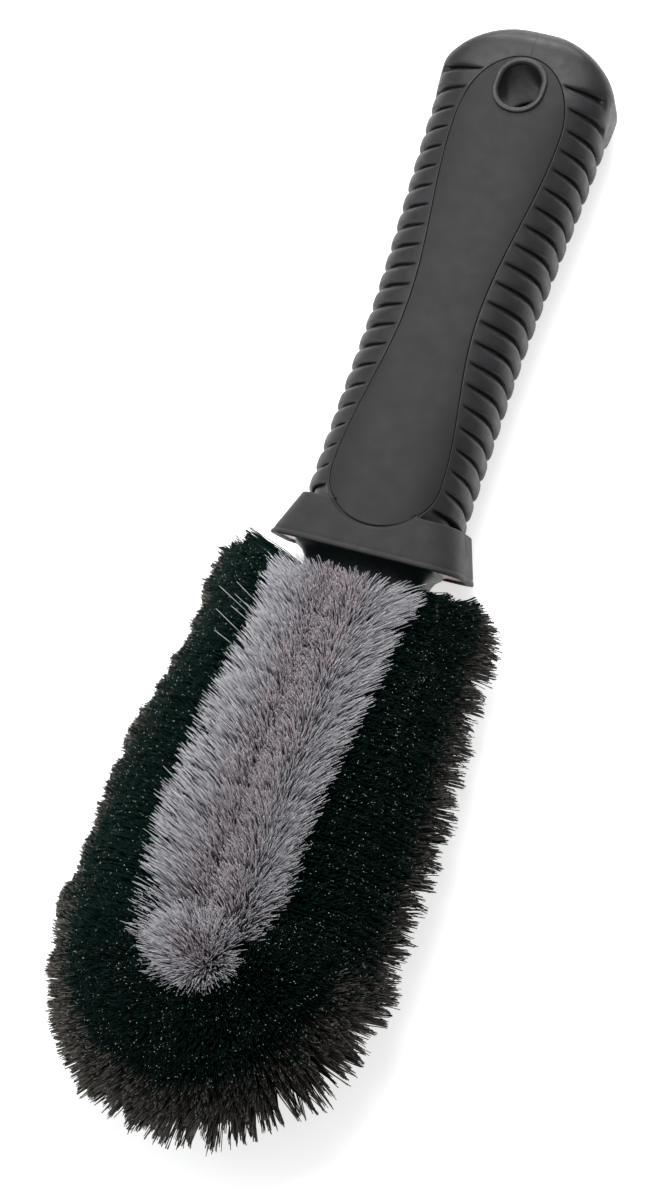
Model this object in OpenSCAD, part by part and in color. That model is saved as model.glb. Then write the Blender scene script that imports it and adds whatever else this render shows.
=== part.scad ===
// Hand-held wheel brush: bristle head on a drilled block, ribbed rubber grip over a rigid core.
// X runs across the brush, +Y points at the hanging end of the grip, +Z out of the bristle face.
// The brush lies on its back on z = 0, and the origin is at the bottom centre of its box.

/* [Overall] */
// Length from the bristle tips at the nose to the end of the grip
overall_l = 267; // [262:1:272]

/* [Grip] */
// Width of the grip at its hanging end
grip_end_w = 39.4; // [38:0.1:41]
// Width of the grip at its waist
grip_waist_w = 34.6; // [34:0.1:37]
// Radius of the rounded hanging end, seen from the front
grip_end_r = 22; // [21:0.5:24]
// Height of the grip's front face above the table at the collar
front_z_collar = 22; // [21:0.2:24]
// Height of the grip's front face at the hanging hole
front_z_end = 20.6; // [20:0.2:22]
// Number of finger ribs along each side
rib_count = 21; // [18:1:21]
// Distance from one rib to the next
rib_pitch = 4.95; // [4.6:0.05:4.95]
// Depth of the groove between two ribs
rib_depth = 1.2; // [0.6:0.1:1.6]
// Width of the groove between two ribs
rib_gap = 1.1; // [0.8:0.1:1.8]

/* [Panels] */
// Width of the smooth panel at its narrow waist
panel_waist_w = 15.8; // [14:0.2:18]
// Width of the panel at its two wide ends
panel_wide_w = 24.2; // [22:0.2:26]
// Thickness of a panel
panel_t = 2.4; // [1.6:0.1:3]
// Gap of the seam round a panel
panel_seam = 0.12; // [0.1:0.01:0.3]

/* [Hanging hole] */
// Width of the oval hole
hang_w = 8.8; // [8:0.1:9.5]
// Length of the oval hole
hang_l = 10.7; // [10:0.1:12]
// Wall of the eyelet that lines the hole
eyelet_wall = 1.5; // [1.2:0.1:1.8]
// How far the eyelet stands proud of the front panel
eyelet_proud = 0.6; // [0.2:0.1:1]

/* [Collar] */
// Width of the guard collar at its flared lower edge
collar_w = 43.4; // [42:0.2:46]
// Height of the collar's front face above the table at its lower edge
collar_t = 23.6; // [23:0.2:25]
// Length of the collar along the brush
collar_l = 11.2; // [10:0.2:12]
// How far the collar leans, its front edge towards the bristles, in degrees
collar_lean = 16; // [10:1:17]

/* [Head block] */
// Width of the neck between the collar and the bristles
neck_w = 27; // [26:0.1:27]
// Widest point of the block
block_w = 31; // [30:0.5:32]
// Width of the block where the neck meets it
block_top_w = 28; // [27:0.1:28]
// Thickness of the block
block_t = 14; // [14:0.5:15]
// Length of the block's elliptical nose
block_nose_l = 19.5; // [19:0.5:21]

/* [Bristles] */
// Width across the rim bristles at their widest
brush_w = 72.6; // [70:0.2:75]
// Width across the rim bristles at the collar end
brush_top_w = 56; // [54:0.5:60]
// Length of the elliptical nose of the bristle outline
brush_nose_l = 41.5; // [40:0.5:44]
// Height of the soft centre bristles above the table, past the shoulders
soft_tip_z = 42; // [38:0.5:44]
// How much lower the tips start at the collar end
tip_rise = 7; // [4:0.5:9]
// Distance from one tuft to the next along a row
tuft_pitch = 8.2; // [8.1:0.05:8.4]
// Radius of a drilled tuft hole
tuft_hole_r = 1.25; // [1.2:0.05:1.3]
// Radius of a tuft at its cut tip
tuft_tip_r = 3.9; // [3:0.1:4]

/* [Hidden] */
$fn = 48;

// Places along the brush
end_y = overall_l / 2;
hole_y = end_y - 20;
collar_top_y = 8.6;
collar_low_y = collar_top_y - collar_l;
neck_y = -5;
tip_overhang = 1.2;
nose_y = -end_y + brush_nose_l + tip_overhang;
first_groove_y = 116;
waist_y = 50;
widening_l = 68;

// Clearance between pieces that are moulded or pressed together
fit_gap = 0.1;

// Grip: the back lies on the table, and the front falls a little towards the hanging end
front_slope = (front_z_end - front_z_collar) / (hole_y - collar_top_y);
function front_z(y) = front_z_collar + front_slope * (y - collar_top_y);
function ease(t) = let (c = max(0, min(1, t))) c * c * (3 - 2 * c);
function grip_w(y) =
    grip_waist_w + (grip_end_w - grip_waist_w) * ease((y - waist_y) / widening_l);

// Corner radius of the grip's section, as a share of its thickness
corner_share = 0.38;

// Rigid core inside the grip
core_w = 21;
core_t = 9;
core_z = 11;
flange_w = 40;
flange_t = 20.4;
flange_l = 1.8;
tenon_w = 14;
tenon_t = 5;
tenon_l = 22;
core_end_r = 10.5;

// Panels: an outline with two wide ends, a narrow waist, a long arch and a round lower end
panel_top_y = 104;
panel_mid_y = 57;
panel_low_y = 17;
panel_arch_l = 16.8;
panel_foot_l = 12.3;
panel_steps = 12;

// Head block: straight flanks, side walls that carry the rim tufts, and a flat back
outline_steps = 16;
hole_depth = 4.8;
hole_over = 4;
// Turn of a hole about its own axis, so that its seam line leaves the block's top face cleanly
hole_turn = 90;
root_r = tuft_hole_r - 0.05;
anchor_size = [2.2, 0.35, 1.4];
anchor_lift = 0.1;
root_lift = 1.7;
tuft_neck_l = 1;

// Tuft rows: how far roots stand in from the block's edge and tips from the bristle outline
rim_root_in = 0;
rim_root_z = 7.5;
rim_tip_z = 17.5;
outer_root_in = 3;
outer_tip_in = 4.5;
outer_tip_z = 29;
inner_root_in = 8;
inner_tip_in = 13;
inner_tip_z = soft_tip_z - 4;
soft_root_x = 3.2;
soft_tip_x = 10;
first_tuft_y = -9.5;
side_count = 11;
rim_nose_count = 9;
outer_nose_count = 6;
inner_nose_count = 4;
shoulder_lean = 1.5;
rise_l = 55;
low_share = 0.6;

// --- Outlines of the head ---

function toward_neck(y) = (y - nose_y) / (neck_y - nose_y);
function block_hw(y) = block_w / 2 - (block_w - block_top_w) / 2 * toward_neck(y);
function brush_hw(y) = brush_w / 2 - (brush_w - brush_top_w) / 2 * pow(toward_neck(y), 2);
function root_z(inset) = inset > 0 ? block_t : rim_root_z;
// Bristles splay back towards the grip at the shoulders
function lean(y) = shoulder_lean * pow(max(0, 1 - (first_tuft_y - y) / 25), 2);
// Tips rise from the collar end to the middle of the head
function tip_drop(y) = tip_rise * ease(1 + (y - first_tuft_y) / rise_l);

function nose_point(half_w, length, angle) =
    [half_w * cos(angle), nose_y - length * sin(angle)];

// --- Tufts as pairs of root and tip points ---

// One tuft of a ring row on a flank: side is 1 on the right and -1 on the left
function flank_tuft(y, side, root_in, tip_in, tip_z) = [
    [side * (block_hw(y) - root_in), y, root_z(root_in)],
    [side * (brush_hw(y) - tip_in), y + lean(y), tip_z - low_share * tip_drop(y)]
];
// One tuft of a ring row round the nose, by its angle from the right
function nose_tuft(angle, root_in, tip_in, tip_z) =
    let (root = nose_point(block_w / 2 - root_in, block_nose_l - root_in, angle))
    let (tip = nose_point(brush_w / 2 - tip_in, brush_nose_l - tip_in, angle))
    [[root.x, root.y, root_z(root_in)], [tip.x, tip.y, tip_z]];

function row_ys(staggered) = [
    for (k = [0 : side_count - 1 - (staggered ? 1 : 0)])
        first_tuft_y - tuft_pitch * (k + (staggered ? 0.5 : 0))
];
function nose_angles(count) = [for (k = [1 : count]) 180 * k / (count + 1)];

function rim_side(side) =
    [for (y = row_ys(false)) flank_tuft(y, side, rim_root_in, 0, rim_tip_z)];
function rim_nose() =
    [for (a = nose_angles(rim_nose_count)) nose_tuft(a, rim_root_in, 0, rim_tip_z)];
function outer_side(side) =
    [for (y = row_ys(true)) flank_tuft(y, side, outer_root_in, outer_tip_in, outer_tip_z)];
function outer_nose() =
    [for (a = nose_angles(outer_nose_count))
        nose_tuft(a, outer_root_in, outer_tip_in, outer_tip_z)];
function inner_side(side) =
    [for (y = row_ys(false)) flank_tuft(y, side, inner_root_in, inner_tip_in, inner_tip_z)];
function inner_nose() =
    [for (a = nose_angles(inner_nose_count))
        nose_tuft(a, inner_root_in, inner_tip_in, inner_tip_z)];
function soft_side(side) =
    [for (y = row_ys(true))
        [[side * soft_root_x, y, block_t],
            [side * soft_tip_x, y + lean(y), soft_tip_z - tip_drop(y)]]];
function soft_end() = [[[0, nose_y - 2.5, block_t], [0, nose_y - 6, soft_tip_z]]];

function soft_all() = concat(soft_side(1), soft_side(-1), soft_end());
function inner_all() = concat(inner_side(1), inner_side(-1), inner_nose());
function outer_all() = concat(outer_side(1), outer_side(-1), outer_nose());
function rim_all() = concat(rim_side(1), rim_side(-1), rim_nose());

// Puts children at the tuft's root with +Z along the tuft
module along(tuft) {
    run = tuft[1] - tuft[0];
    flat = norm([run.x, run.y]);
    translate(tuft[0]) rotate([0, atan2(flat, run.z), atan2(run.y, run.x)]) children();
}

module tuft_holes(tufts) {
    for (tuft = tufts)
        along(tuft)
            rotate([0, 0, hole_turn])
                translate([0, 0, -hole_depth])
                    cylinder(r = tuft_hole_r, h = hole_depth + hole_over);
}

module tuft_row(tufts) {
    for (tuft = tufts) {
        length = norm(tuft[1] - tuft[0]);
        along(tuft) {
            translate([0, 0, root_lift - hole_depth])
                cylinder(r = root_r, h = hole_depth - root_lift + tuft_neck_l);
            translate([0, 0, tuft_neck_l])
                cylinder(r1 = root_r, r2 = tuft_tip_r, h = length - tuft_neck_l);
        }
    }
}

module anchor_row(tufts) {
    for (tuft = tufts)
        along(tuft)
            translate([0, 0, anchor_lift - hole_depth + anchor_size.z / 2])
                cube(anchor_size, center = true);
}

// --- Shared shapes of the grip ---

// Rounded rectangle, centred, of width w, thickness t and corner radius r
module rounded(w, t, r) {
    square([w - 2 * r, t], center = true);
    square([w, t - 2 * r], center = true);
    for (x = [-1, 1], z = [-1, 1])
        translate([x * (w / 2 - r), z * (t / 2 - r)]) circle(r = r);
}

// A stretch of grip from y0 to y1, set in all round by inset, sized for its own middle
module grip_slab(y0, y1, inset) {
    y = (y0 + y1) / 2;
    top = front_z(y) - inset;
    bottom = inset;
    translate([0, y1, (top + bottom) / 2])
        rotate([90, 0, 0])
            linear_extrude(y1 - y0)
                rounded(grip_w(y) - 2 * inset, top - bottom, corner_share * (top - bottom));
}

module oval(w, l, h) {
    linear_extrude(h) {
        for (s = [-1, 1]) translate([0, s * (l - w) / 2]) circle(d = w);
        square([w, l - w], center = true);
    }
}

function panel_hw(y) =
    let (run = y > panel_mid_y ? panel_top_y - panel_mid_y : panel_mid_y - panel_low_y)
    panel_waist_w / 2
        + (panel_wide_w - panel_waist_w) / 4 * (1 - cos(180 * (y - panel_mid_y) / run));

function panel_right(grow) = concat(
    [for (k = [1 : panel_steps])
        let (a = 90 * k / panel_steps)
        [(panel_wide_w / 2 + grow) * sin(a), panel_low_y - (panel_foot_l + grow) * cos(a)]],
    [for (k = [1 : 2 * panel_steps - 1])
        let (y = panel_low_y + (panel_top_y - panel_low_y) * k / (2 * panel_steps))
        [panel_hw(y) + grow, y]],
    [for (k = [0 : panel_steps - 1])
        let (a = 90 * k / panel_steps)
        [(panel_wide_w / 2 + grow) * cos(a), panel_top_y + (panel_arch_l + grow) * sin(a)]]
);

module panel_outline(grow) {
    right = panel_right(grow);
    last = len(right) - 1;
    polygon(concat(
        [[0, panel_low_y - panel_foot_l - grow]],
        right,
        [[0, panel_top_y + panel_arch_l + grow]],
        [for (k = [0 : last]) [-right[last - k].x, right[last - k].y]]
    ));
}

// A panel-shaped slab whose outer face lies in the grip's front face
module front_slab(grow, thick, over) {
    translate([0, collar_top_y, front_z_collar])
        rotate([atan(front_slope), 0, 0])
            translate([0, -collar_top_y, -thick])
                linear_extrude(thick + over) panel_outline(grow);
}

// The same on the grip's flat back
module back_slab(grow, thick, over) {
    translate([0, 0, -over]) linear_extrude(thick + over) panel_outline(grow);
}

module eyelet_bore(grow) {
    translate([0, hole_y, -5])
        oval(hang_w + 2 * grow, hang_l + 2 * grow, front_z_end + 15);
}

// Everything on the bristle side of a leaning plane that meets the front face at y
module below(y, z) {
    translate([0, y, z])
        rotate([collar_lean, 0, 0])
            translate([-50, -60, -60]) cube([100, 60, 120]);
}

module core_shape(grow) {
    w = core_w + 2 * grow;
    t = core_t + 2 * grow;
    translate([-w / 2, collar_low_y, core_z - t / 2])
        cube([w, hole_y - collar_low_y, t]);
    translate([0, hole_y, core_z - t / 2]) cylinder(r = core_end_r + grow, h = t);
}

// Rounded rectangle prism along Y from y0 to y1
module bar(w, t, r, y0, y1, z) {
    translate([0, y1, z]) rotate([90, 0, 0]) linear_extrude(y1 - y0) rounded(w, t, r);
}

// --- Sub-parts ---

module block_outline() {
    flank = [[block_hw(neck_y), neck_y], [block_w / 2, nose_y]];
    nose = [for (k = [1 : outline_steps - 1])
        nose_point(block_w / 2, block_nose_l, 180 * k / outline_steps)];
    polygon(concat(flank, nose, [[-flank[1].x, flank[1].y], [-flank[0].x, flank[0].y]]));
}

module brush_block() {
    neck_t = 12;
    color([0.06, 0.07, 0.07])
        difference() {
            union() {
                linear_extrude(block_t) block_outline();
                intersection() {
                    bar(neck_w, neck_t, 3, neck_y - 3, collar_top_y, block_t - neck_t / 2);
                    below(collar_low_y - fit_gap, collar_t);
                }
                bar(tenon_w, tenon_t, 1, neck_y, collar_low_y + tenon_l, core_z - 0.5);
            }
            tuft_holes(soft_all());
            tuft_holes(inner_all());
            tuft_holes(outer_all());
            tuft_holes(rim_all());
        }
}

// Plate of the core that closes the collar's underside, before its leaning face is cut
module flange(grow) {
    intersection() {
        bar(flange_w + 2 * grow, flange_t + 2 * grow, 7, collar_low_y - 1, collar_top_y + 10,
            collar_t / 2);
        below(collar_low_y + flange_l + grow, collar_t);
    }
}

module handle_core() {
    color([0.24, 0.05, 0.06])
        difference() {
            union() {
                core_shape(0);
                flange(0);
            }
            below(collar_low_y, collar_t);
            eyelet_bore(eyelet_wall + fit_gap);
            bar(tenon_w + 2 * fit_gap, tenon_t + 2 * fit_gap, 1, collar_low_y - 1,
                collar_low_y + tenon_l + 0.5, core_z - 0.5);
        }
}

module hang_eyelet() {
    low = 0.2;
    high = front_z(hole_y) + eyelet_proud;
    color([0.2, 0.2, 0.21])
        difference() {
            translate([0, hole_y, low])
                oval(hang_w + 2 * eyelet_wall, hang_l + 2 * eyelet_wall, high - low);
            eyelet_bore(0);
        }
}

// Round cushion that shapes the hanging end both from the front and from the side
module puck() {
    t = front_z(first_groove_y);
    translate([0, end_y - grip_end_r, 0])
        rotate_extrude($fn = 96)
            intersection() {
                translate([0, t / 2]) rounded(2 * grip_end_r, t, corner_share * t);
                square([grip_end_r, t]);
            }
}

module grip_sleeve() {
    color([0.19, 0.18, 0.2])
        difference() {
            union() {
                // Smooth domed end
                intersection() {
                    grip_slab(first_groove_y + rib_gap / 2, end_y, 0);
                    puck();
                }
                // Ribs, and the thinner stretches between them
                for (k = [0 : rib_count]) {
                    groove_y = first_groove_y - k * rib_pitch;
                    grip_slab(groove_y - rib_gap / 2 - 0.3, groove_y + rib_gap / 2 + 0.3, rib_depth);
                    grip_slab(groove_y - rib_pitch + rib_gap / 2, groove_y - rib_gap / 2,
                        k == rib_count ? rib_depth : 0);
                }
            }
            below(collar_top_y, front_z_collar);
            front_slab(panel_seam, panel_t + fit_gap, 5);
            back_slab(panel_seam, panel_t + fit_gap, 5);
            core_shape(fit_gap);
            eyelet_bore(eyelet_wall + fit_gap);
        }
}

module front_panel() {
    color([0.21, 0.2, 0.22])
        difference() {
            front_slab(0, panel_t, 0);
            eyelet_bore(eyelet_wall + fit_gap);
        }
}

module back_panel() {
    color([0.21, 0.2, 0.22])
        difference() {
            back_slab(0, panel_t, 0);
            eyelet_bore(eyelet_wall + fit_gap);
        }
}

module collar_guard() {
    far_y = collar_top_y + 5;
    top_w = grip_waist_w + 2.2;
    top_t = front_z_collar + 0.4;
    color([0.19, 0.18, 0.2])
        difference() {
            hull() {
                bar(collar_w, collar_t, 8, collar_low_y - 0.2, collar_low_y, collar_t / 2,
                    $fn = 32);
                bar(top_w, top_t, 8, far_y, far_y + 0.2, top_t / 2, $fn = 32);
            }
            below(collar_low_y, collar_t);
            mirror([0, 1, 0]) mirror([0, 0, 1]) below(-collar_top_y, -front_z_collar);
            front_slab(panel_seam, panel_t + fit_gap, 8);
            back_slab(panel_seam, panel_t + fit_gap, 8);
            core_shape(fit_gap);
            flange(fit_gap);
        }
}

module soft_tufts(tufts) {
    color([0.53, 0.51, 0.54]) tuft_row(tufts);
}

module stiff_tufts(tufts) {
    color([0.05, 0.06, 0.055]) tuft_row(tufts);
}

module anchors(tufts) {
    color([0.72, 0.72, 0.7]) anchor_row(tufts);
}

brush_block();
handle_core();
hang_eyelet();
grip_sleeve();
front_panel();
back_panel();
collar_guard();
soft_tufts(soft_side(-1));  // soft_tufts_left
soft_tufts(soft_side(1));  // soft_tufts_right
soft_tufts(soft_end());  // soft_end_tuft
stiff_tufts(inner_side(-1));  // inner_tufts_left
stiff_tufts(inner_side(1));  // inner_tufts_right
stiff_tufts(inner_nose());  // inner_tufts_nose
stiff_tufts(outer_side(-1));  // outer_tufts_left
stiff_tufts(outer_side(1));  // outer_tufts_right
stiff_tufts(outer_nose());  // outer_tufts_nose
stiff_tufts(rim_side(-1));  // rim_tufts_left
stiff_tufts(rim_side(1));  // rim_tufts_right
stiff_tufts(rim_nose());  // rim_tufts_nose
anchors(soft_all());  // anchors_soft
anchors(inner_all());  // anchors_inner
anchors(outer_all());  // anchors_outer
anchors(rim_all());  // anchors_rim
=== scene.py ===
import math

import bmesh
import bpy
import numpy as np
from mathutils import Matrix, Vector


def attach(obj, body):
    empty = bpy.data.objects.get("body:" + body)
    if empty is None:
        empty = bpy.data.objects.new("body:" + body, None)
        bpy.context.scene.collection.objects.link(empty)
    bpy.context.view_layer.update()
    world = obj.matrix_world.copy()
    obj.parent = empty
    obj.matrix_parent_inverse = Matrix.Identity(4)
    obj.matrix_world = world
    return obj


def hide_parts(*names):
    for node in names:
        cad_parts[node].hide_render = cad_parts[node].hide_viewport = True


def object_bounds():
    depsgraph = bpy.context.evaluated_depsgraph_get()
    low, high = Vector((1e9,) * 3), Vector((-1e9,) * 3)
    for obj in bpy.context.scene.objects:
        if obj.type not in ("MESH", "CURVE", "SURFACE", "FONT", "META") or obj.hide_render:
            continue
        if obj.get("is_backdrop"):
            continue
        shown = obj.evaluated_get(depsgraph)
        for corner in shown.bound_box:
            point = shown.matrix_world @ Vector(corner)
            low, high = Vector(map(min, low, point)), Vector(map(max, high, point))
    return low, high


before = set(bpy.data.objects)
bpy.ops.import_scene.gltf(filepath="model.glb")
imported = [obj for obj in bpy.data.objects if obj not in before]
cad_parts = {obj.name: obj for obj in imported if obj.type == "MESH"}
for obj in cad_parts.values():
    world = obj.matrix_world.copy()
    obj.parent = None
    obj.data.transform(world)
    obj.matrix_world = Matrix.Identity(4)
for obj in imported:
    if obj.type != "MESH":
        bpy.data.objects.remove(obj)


def plain(bounds):
    if isinstance(bounds, dict):
        return {k: plain(v) for k, v in bounds.items()}
    if isinstance(bounds, (int, float, str)) or bounds is None:
        return bounds
    return [plain(v) for v in bounds]


frame_bounds = plain(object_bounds())

MM = 0.001
rng = np.random.default_rng(20)

# Shapes are worked out in millimetres in the row frame: x across the brush, y along it towards the
# hanging end, z out of the bristle face. The mesh helpers turn them into metres.

# ---------------------------------------------------------------- materials


def principled(name):
    """A new material and its shader."""
    m = bpy.data.materials.new(name)
    m.use_nodes = True
    return m, m.node_tree.nodes["Principled BSDF"]


def procedural(name, dark, light, spot, rough, bumps, spec=0.5, mould_line=False):
    """A noise-driven material: two tones mixed by noise of feature size spot (mm), a rough range,
    and bumps as a list of (feature size mm, height mm). A mould line is a fine groove at x = 0."""
    m, bsdf = principled(name)
    n, link = m.node_tree.nodes, m.node_tree.links
    bsdf.inputs["Specular IOR Level"].default_value = spec
    place = n.new("ShaderNodeTexCoord")

    def noise(size, detail=4.0):
        t = n.new("ShaderNodeTexNoise")
        t.inputs["Scale"].default_value = 1.0 / (size * MM)
        t.inputs["Detail"].default_value = detail
        link.new(place.outputs["Object"], t.inputs["Vector"])
        return t.outputs["Fac"]

    def mapped(value, source, target):
        span = n.new("ShaderNodeMapRange")
        span.inputs["From Min"].default_value, span.inputs["From Max"].default_value = source
        span.inputs["To Min"].default_value, span.inputs["To Max"].default_value = target
        link.new(value, span.inputs["Value"])
        return span.outputs["Result"]

    def bumped(relief, height, strength, under):
        b = n.new("ShaderNodeBump")
        b.inputs["Strength"].default_value = strength
        b.inputs["Distance"].default_value = height * MM
        link.new(relief, b.inputs["Height"])
        if under is not None:
            link.new(under, b.inputs["Normal"])
        return b.outputs["Normal"]

    ramp = n.new("ShaderNodeValToRGB")
    ramp.color_ramp.elements[0].position = 0.32
    ramp.color_ramp.elements[0].color = (*dark, 1)
    ramp.color_ramp.elements[1].position = 0.68
    ramp.color_ramp.elements[1].color = (*light, 1)
    link.new(noise(spot), ramp.inputs["Fac"])
    link.new(ramp.outputs["Color"], bsdf.inputs["Base Color"])
    roughness_map = mapped(noise(spot * 0.37, 6.0), (0.3, 0.7), rough)
    link.new(roughness_map, bsdf.inputs["Roughness"])
    normal = None
    for size, height in bumps:
        normal = bumped(noise(size, 3.0), height, 1.0, normal)
    if mould_line:
        axes = n.new("ShaderNodeSeparateXYZ")
        link.new(place.outputs["Object"], axes.inputs["Vector"])
        off = n.new("ShaderNodeMath")
        off.operation = "ABSOLUTE"
        link.new(axes.outputs["X"], off.inputs[0])
        groove = mapped(off.outputs["Value"], (0.02 * MM, 0.16 * MM), (0.0, 1.0))
        normal = bumped(groove, 0.05, 0.5, normal)
    link.new(normal, bsdf.inputs["Normal"])
    return m


def filament_tone(name, colour, rough, spec):
    """A plain shader for filaments, which are too thin to show a pattern."""
    m, bsdf = principled(name)
    bsdf.inputs["Base Color"].default_value = (*colour, 1)
    bsdf.inputs["Roughness"].default_value = rough
    bsdf.inputs["Specular IOR Level"].default_value = spec
    return m


RUBBER = procedural("ribbed_rubber", (0.015, 0.0145, 0.0155), (0.022, 0.0205, 0.0225), 5.0,
                    (0.34, 0.5), [(0.35, 0.012), (2.2, 0.012)], spec=0.3, mould_line=True)
COLLAR = procedural("collar_rubber", (0.027, 0.0262, 0.0275), (0.036, 0.0348, 0.0365), 6.0,
                    (0.46, 0.6), [(0.4, 0.012), (2.6, 0.012)], spec=0.14, mould_line=True)
PANEL = procedural("panel_rubber", (0.021, 0.0205, 0.0215), (0.026, 0.025, 0.0265), 9.0,
                   (0.46, 0.55), [(0.28, 0.006), (4.5, 0.006)], spec=0.18)
EYELET = procedural("eyelet_plastic", (0.018, 0.0175, 0.0185), (0.026, 0.025, 0.027), 4.0,
                    (0.36, 0.48), [(0.5, 0.01)], spec=0.35)
CORE = procedural("core_plastic", (0.20, 0.022, 0.026), (0.28, 0.035, 0.040), 3.0,
                  (0.22, 0.36), [(0.6, 0.01)], spec=0.55)
BLOCK = procedural("block_plastic", (0.010, 0.018, 0.017), (0.016, 0.026, 0.025), 4.0,
                   (0.3, 0.45), [(0.7, 0.015)], spec=0.5)
WIRE = procedural("anchor_wire", (0.5, 0.5, 0.48), (0.62, 0.62, 0.6), 0.8,
                  (0.25, 0.4), [(0.2, 0.005)], spec=0.5)
WIRE.node_tree.nodes["Principled BSDF"].inputs["Metallic"].default_value = 1.0
FLOOR = procedural("backdrop_paper", (0.93, 0.93, 0.93), (0.96, 0.96, 0.96), 20.0,
                   (0.8, 0.9), [(0.8, 0.01)], spec=0.1)
floor_bsdf = FLOOR.node_tree.nodes["Principled BSDF"]
floor_bsdf.inputs["Emission Color"].default_value = (1, 1, 1, 1)
floor_bsdf.inputs["Emission Strength"].default_value = 0.62

SOFT_TONES = [
    filament_tone("soft_grey", (0.49, 0.47, 0.50), 0.44, 0.4),
    filament_tone("soft_mauve", (0.60, 0.53, 0.56), 0.45, 0.4),
    filament_tone("soft_blue_grey", (0.50, 0.505, 0.545), 0.4, 0.4),
    filament_tone("soft_shadow", (0.37, 0.33, 0.35), 0.5, 0.3),
    filament_tone("soft_pale_tip", (0.72, 0.70, 0.70), 0.3, 0.6),
]
SOFT_GREY, SOFT_MAUVE, SOFT_BLUE, SOFT_SHADOW, SOFT_PALE = range(5)
STIFF_TONES = [
    filament_tone("stiff_black", (0.0012, 0.0108, 0.0080), 0.5, 0.05),
    filament_tone("stiff_teal_black", (0.0018, 0.0142, 0.0108), 0.45, 0.07),
    filament_tone("stiff_brown_black", (0.040, 0.034, 0.030), 0.5, 0.25),
    # Painted shade for the filaments' roots, darker than their own black
    filament_tone("stiff_root_shade", (0.0014, 0.0036, 0.0030), 0.6, 0.05),
    filament_tone("stiff_cut_tip", (0.045, 0.060, 0.055), 0.35, 0.4),
    filament_tone("stiff_pale_tip", (0.50, 0.54, 0.48), 0.3, 0.6),
    # Painted light: a brighter brown for the lit sides of strands near the outline
    filament_tone("stiff_lit_brown", (0.135, 0.115, 0.098), 0.45, 0.3),
]
STIFF_BLACK, STIFF_TEAL, STIFF_BROWN, STIFF_ROOT_SHADE, STIFF_CUT, STIFF_PALE, STIFF_LIT_BROWN = range(7)

# ---------------------------------------------------------------- mesh helpers


MERGE_NEAR, THINNEST = 0.004, 0.002


def add_piece(name, me, node):
    """Puts a finished mesh in the scene as a visible piece that stands for a CAD node."""
    ob = bpy.data.objects.new(name, me)
    bpy.context.scene.collection.objects.link(ob)
    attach(ob, "root")
    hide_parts(node)
    return ob


def finish_mesh(name, verts, faces, material, node, outward=None):
    """Builds a mesh object from points in mm. outward(point, normal) > 0 tells the right side."""
    me = bpy.data.meshes.new(name)
    me.from_pydata([tuple(float(c) * MM for c in v) for v in verts], [], faces)
    bm = bmesh.new()
    bm.from_mesh(me)
    bmesh.ops.remove_doubles(bm, verts=bm.verts, dist=MERGE_NEAR * MM)
    bmesh.ops.dissolve_degenerate(bm, edges=bm.edges, dist=THINNEST * MM)
    loose = [v for v in bm.verts if not v.link_faces]
    bmesh.ops.delete(bm, geom=loose, context="VERTS")
    if outward:
        vote = 0.0
        for f in bm.faces:
            vote += outward(f.calc_center_median() / MM, f.normal) * f.calc_area()
        if vote < 0:
            bmesh.ops.reverse_faces(bm, faces=bm.faces)
    for f in bm.faces:
        f.smooth = True
    bm.to_mesh(me)
    bm.free()
    me.materials.append(material)
    return add_piece(name, me, node)


def grid_faces(rows, cols, base=0, wrap=False, skip=None):
    """Faces between rows of points that start at index base. wrap closes each row to a ring, and
    skip(i, j) leaves a face out."""
    faces = []
    for i in range(rows - 1):
        for j in range(cols if wrap else cols - 1):
            if skip and skip(i, j):
                continue
            k = (j + 1) % cols
            faces.append((base + i * cols + j, base + i * cols + k,
                          base + (i + 1) * cols + k, base + (i + 1) * cols + j))
    return faces


def ease(t):
    """Smooth step from 0 to 1."""
    t = np.clip(t, 0.0, 1.0)
    return t * t * (3 - 2 * t)


# ---------------------------------------------------------------- the grip's shape

# The grip's half-width, and by how much, from where and over what length it grows
GRIP_HW, GRIP_GROWS, GROWS_FROM, GROWS_RUN = 17.35, 2.45, 50, 68
# Height of the grip's front at the collar, and how far it falls over what length
FRONT_Z, FRONT_FALL, FALL_RUN = 22.0, 1.4, 104.9
# The grip narrows to its end from END_FROM on in plan and over the last DOME_L in height
END_Y, END_FROM, END_POWER = 130.5, 117.6, 1.65
DOME_L, DOME_POWER = 8.5, 2.5
# Superellipse exponent of the section, how much squarer its back half is, and what the rounded
# end adds to the exponent, from where and over what length
ROUND, BACK_FULL = 2.7, 1.35
BOXY_END, BOXY_FROM, BOXY_RUN = 1.6, 107, 12
# The collar leans back by this much y for each mm of height
SLANT = math.tan(math.radians(16))
# The collar's lower and upper end, as y on its front face
LOW_F, TOP_F = -2.6, 8.6
COLLAR_ROUND = 4.6
# The collar sits a little to one side of the grip
COLLAR_SET = 0.6


def top_z(y):
    """Height of the grip's front at y."""
    return FRONT_Z - FRONT_FALL * (y - TOP_F) / FALL_RUN


def roundness(y):
    """Exponent of the grip's section at y."""
    return ROUND + BOXY_END * float(ease((y - BOXY_FROM) / BOXY_RUN))


def section(y):
    """Half-width, half-thickness and middle height of the grip at y."""
    a = GRIP_HW + GRIP_GROWS * float(ease((y - GROWS_FROM) / GROWS_RUN))
    b = top_z(y) / 2
    zc = b
    if y > END_FROM:
        along = (y - END_FROM) / (END_Y - END_FROM)
        a *= max(1e-9, 1 - along ** END_POWER) ** (1 / END_POWER)
    dome = END_Y - DOME_L
    if y > dome:
        b *= max(0.0, 1 - ((y - dome) / DOME_L) ** DOME_POWER) ** (1 / DOME_POWER)
    return a, b, zc


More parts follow.
